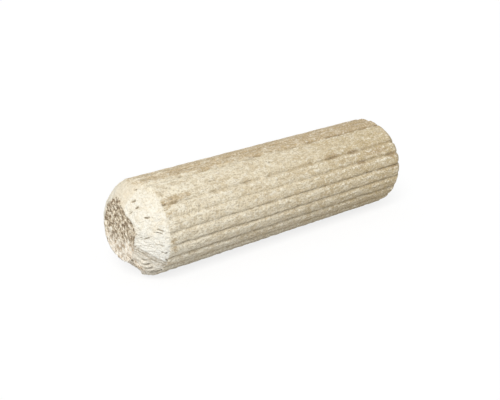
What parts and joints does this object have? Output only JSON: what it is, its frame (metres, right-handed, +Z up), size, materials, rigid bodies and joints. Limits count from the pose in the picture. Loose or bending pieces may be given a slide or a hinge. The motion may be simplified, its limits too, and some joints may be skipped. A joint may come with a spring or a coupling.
{
  "type": "dowel pin",
  "caption": "Fluted wooden dowel pin with a rounded taper at each end, for pressing and gluing into two matching holes.",
  "frame": {"origin": "middle of the pin, on its axis", "axes": "+X along the pin; the ends are alike, and the taper with the chipped lower edge is at -X; +Z up as the pin lies on two of its ridges"},
  "size_m": [0.03, 0.008, 0.008],
  "materials": {
    "beech": "raw, unsanded"
  },
  "bodies": {
    "root": {"dowel_pin": "beech"}
  },
  "joints": []
}
